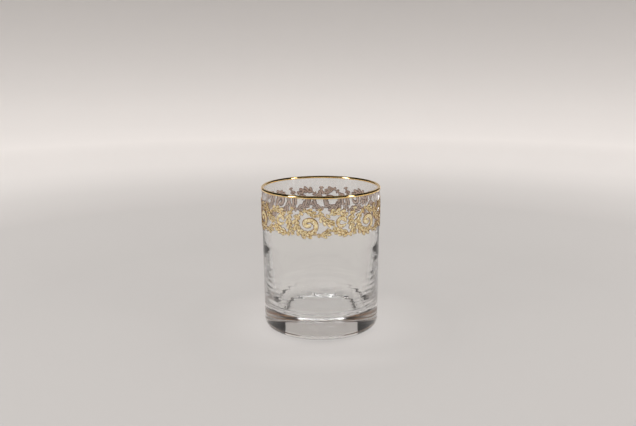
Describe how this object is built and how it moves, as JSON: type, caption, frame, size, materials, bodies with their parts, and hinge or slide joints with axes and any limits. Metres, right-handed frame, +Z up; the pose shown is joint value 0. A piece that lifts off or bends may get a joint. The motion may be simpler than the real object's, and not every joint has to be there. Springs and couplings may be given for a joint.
{
  "type": "whisky glass",
  "caption": "Straight, slightly tapered tumbler of clear glass with a heavy base, a gilded lip and a gilded frieze of leafy scrolls, for short drinks.",
  "frame": {"origin": "centre of the ring foot, on the surface that the glass stands on", "axes": "+Z up along the axis that the glass is turned about; +X to the right and -Y towards the viewer in the picture"},
  "size_m": [0.08, 0.08, 0.097],
  "materials": {
    "clear_glass": "clear, fire-polished",
    "rim_gold": "bright polished gilding",
    "frieze_gold": "matt, grainy gilding"
  },
  "bodies": {
    "root": {"glass_body": "clear_glass", "gilt_rim": "rim_gold", "frieze_scroll_01": "frieze_gold", "frieze_tail_leaf_01": "frieze_gold", "frieze_crest_leaf_01": "frieze_gold", "frieze_falling_leaf_01": "frieze_gold", "frieze_scroll_02": "frieze_gold", "frieze_tail_leaf_02": "frieze_gold", "frieze_crest_leaf_02": "frieze_gold", "frieze_falling_leaf_02": "frieze_gold", "frieze_scroll_03": "frieze_gold", "frieze_tail_leaf_03": "frieze_gold", "frieze_crest_leaf_03": "frieze_gold", "frieze_falling_leaf_03": "frieze_gold", "frieze_scroll_04": "frieze_gold", "frieze_tail_leaf_04": "frieze_gold", "frieze_crest_leaf_04": "frieze_gold", "frieze_falling_leaf_04": "frieze_gold", "frieze_scroll_05": "frieze_gold", "frieze_tail_leaf_05": "frieze_gold", "frieze_crest_leaf_05": "frieze_gold", "frieze_falling_leaf_05": "frieze_gold", "frieze_scroll_06": "frieze_gold", "frieze_tail_leaf_06": "frieze_gold", "frieze_crest_leaf_06": "frieze_gold", "frieze_falling_leaf_06": "frieze_gold", "frieze_scroll_07": "frieze_gold", "frieze_tail_leaf_07": "frieze_gold", "frieze_crest_leaf_07": "frieze_gold", "frieze_falling_leaf_07": "frieze_gold", "frieze_scroll_08": "frieze_gold", "frieze_tail_leaf_08": "frieze_gold", "frieze_crest_leaf_08": "frieze_gold", "frieze_falling_leaf_08": "frieze_gold", "frieze_scroll_09": "frieze_gold", "frieze_tail_leaf_09": "frieze_gold", "frieze_crest_leaf_09": "frieze_gold", "frieze_falling_leaf_09": "frieze_gold", "frieze_scroll_10": "frieze_gold", "frieze_tail_leaf_10": "frieze_gold", "frieze_crest_leaf_10": "frieze_gold", "frieze_falling_leaf_10": "frieze_gold", "frieze_scroll_11": "frieze_gold", "frieze_tail_leaf_11": "frieze_gold", "frieze_crest_leaf_11": "frieze_gold", "frieze_falling_leaf_11": "frieze_gold", "frieze_scroll_12": "frieze_gold", "frieze_tail_leaf_12": "frieze_gold", "frieze_crest_leaf_12": "frieze_gold", "frieze_falling_leaf_12": "frieze_gold"}
  },
  "joints": []
}
